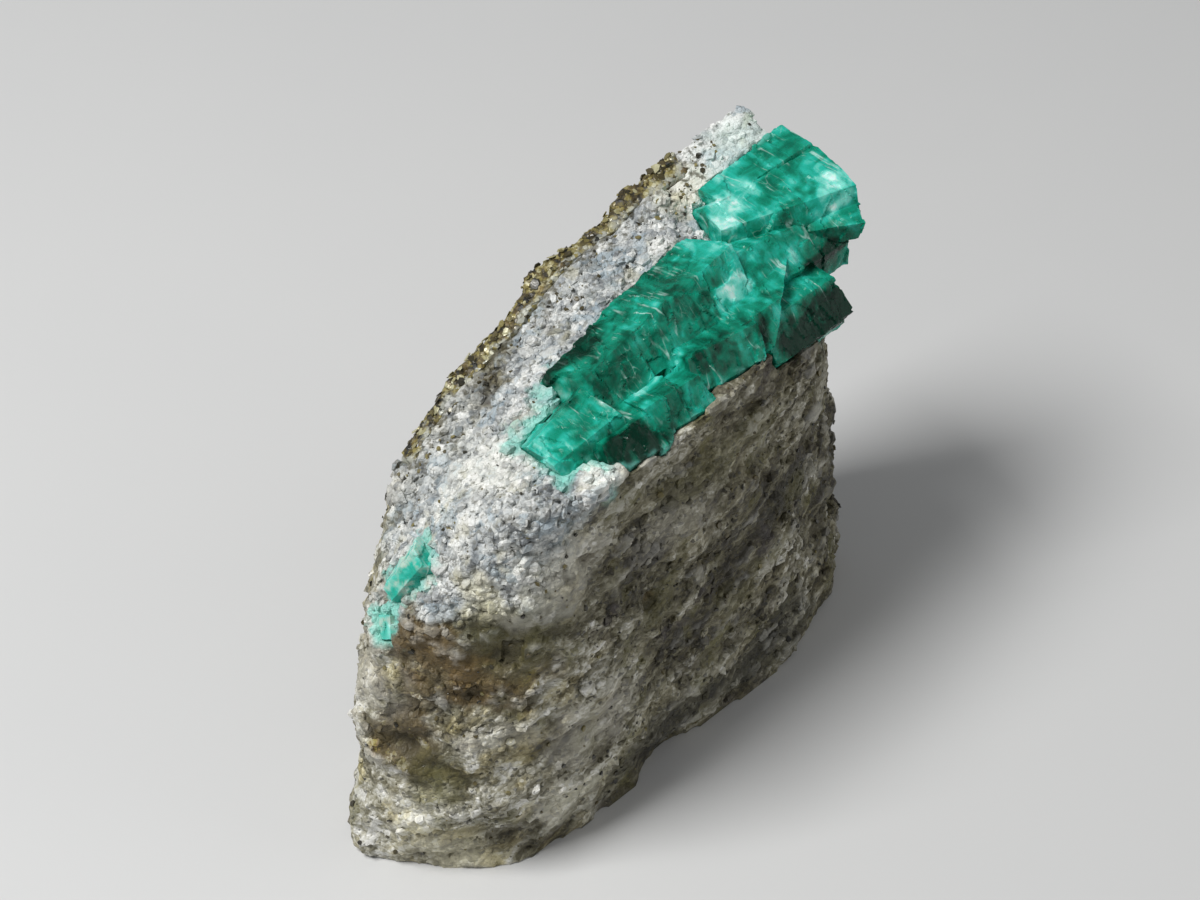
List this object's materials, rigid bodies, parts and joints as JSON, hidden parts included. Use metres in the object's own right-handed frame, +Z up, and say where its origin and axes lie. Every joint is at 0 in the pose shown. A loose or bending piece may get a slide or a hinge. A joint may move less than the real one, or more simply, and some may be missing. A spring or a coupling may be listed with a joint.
{
  "type": "emerald in matrix",
  "caption": "Fractured green emerald crystal seated in a block of pale quartz and grey-brown schist, with a mica rind and a flat base to stand on.",
  "frame": {"origin": "middle of the specimen's length and depth, on the surface that it stands on", "axes": "+X along the block from the rounded near end to the far end under the crystal's tip, -Y the grey broken front, +Z up"},
  "size_m": [0.0898, 0.0374, 0.0691],
  "materials": {
    "quartz_and_schist": "rough broken rock: white and bluish quartz above, grey-brown foliated schist in front, rust stains",
    "weathered_mica": "golden-brown to black flaky mica with small bright flakes",
    "emerald": "translucent mottled green crystal with pale fracture lines and glossy broken faces",
    "emerald_grain": "pale translucent green"
  },
  "bodies": {
    "root": {"matrix": "quartz_and_schist", "mica_rind": "weathered_mica", "emerald_crystal": "emerald", "emerald_grain_upper": "emerald_grain", "emerald_grain_lower": "emerald_grain"}
  },
  "joints": []
}
